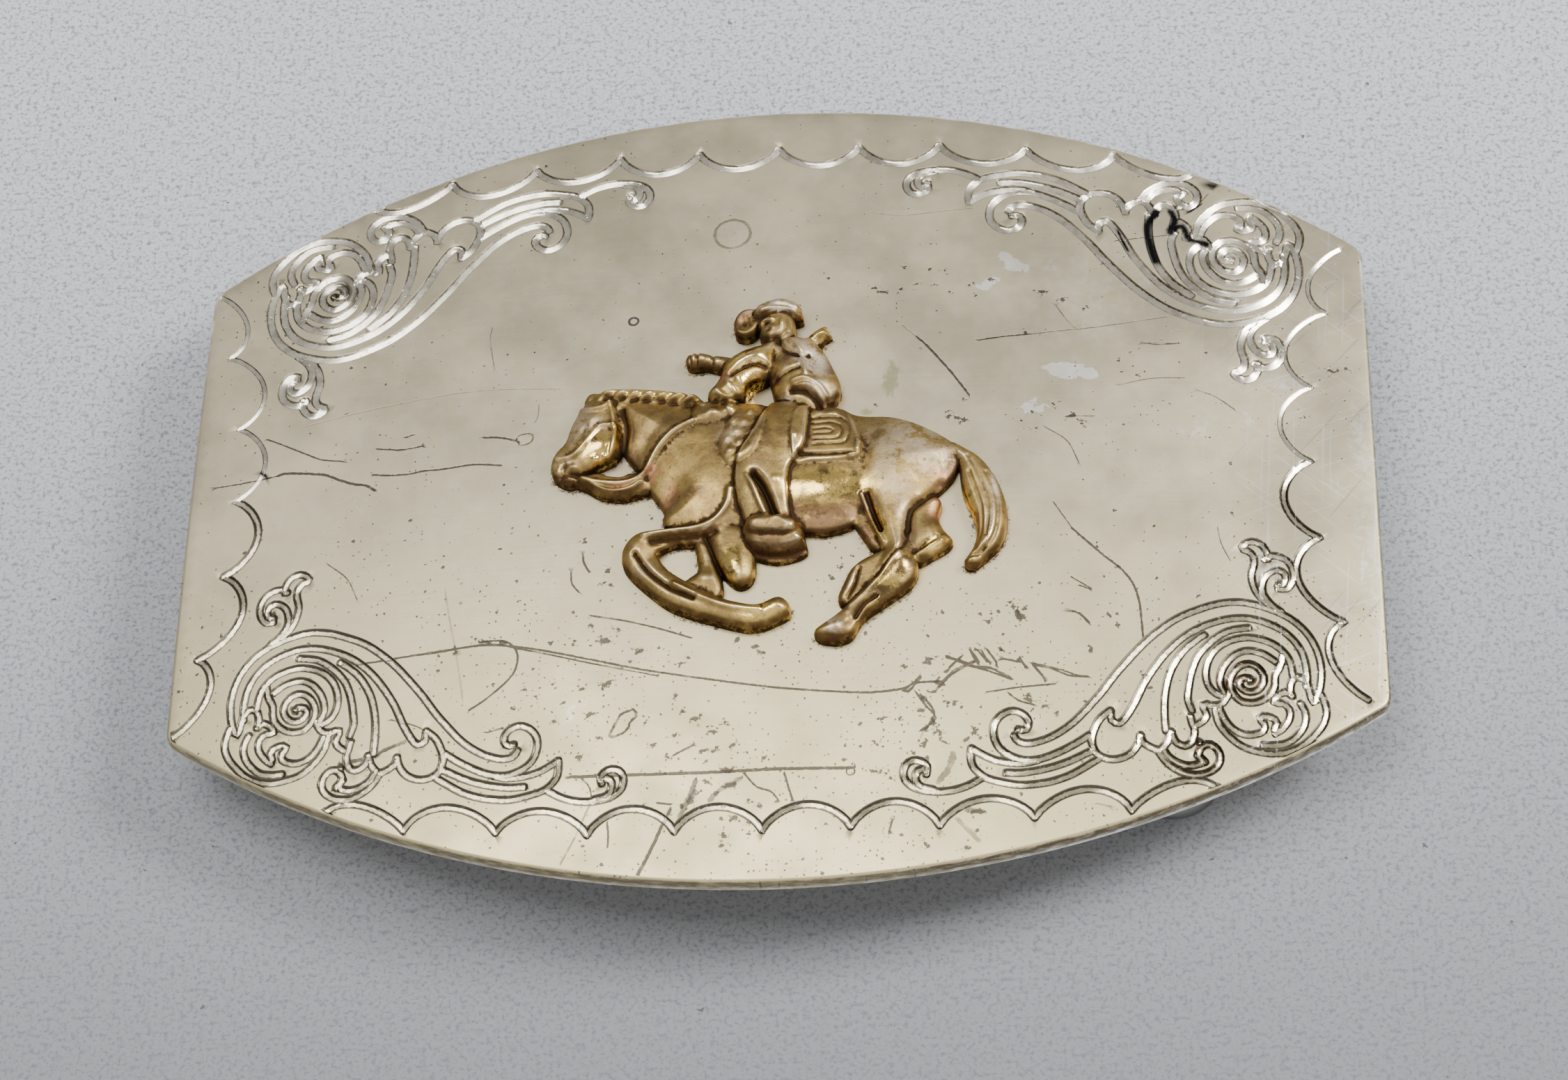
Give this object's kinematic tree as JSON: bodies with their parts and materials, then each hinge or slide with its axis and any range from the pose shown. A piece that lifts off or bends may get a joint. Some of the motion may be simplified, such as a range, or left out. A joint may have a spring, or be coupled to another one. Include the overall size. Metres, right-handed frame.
{
  "type": "western belt buckle",
  "caption": "Domed western belt buckle plate with a cast horse and rider on its face, and a belt hook and a wire belt loop on its back.",
  "frame": {"origin": "on the surface that the buckle lies on, under the middle of the plate", "axes": "+X along the buckle's length, towards the belt loop's side; +Y up the buckle's height as worn, towards the rider's head; +Z out of the buckle's face"},
  "size_m": [0.09, 0.0674, 0.0152],
  "materials": {
    "nickel_silver": "nickel silver, polished and worn, with fine scratches, small pits and engraved lines",
    "gilt_brass": "cast brass with a worn gold wash, darker in its hollows",
    "fitting_steel": "plain nickel-plated steel"
  },
  "bodies": {
    "root": {"plate": "nickel_silver", "horse_and_rider": "gilt_brass", "belt_hook": "fitting_steel", "belt_loop": "fitting_steel"}
  },
  "joints": []
}
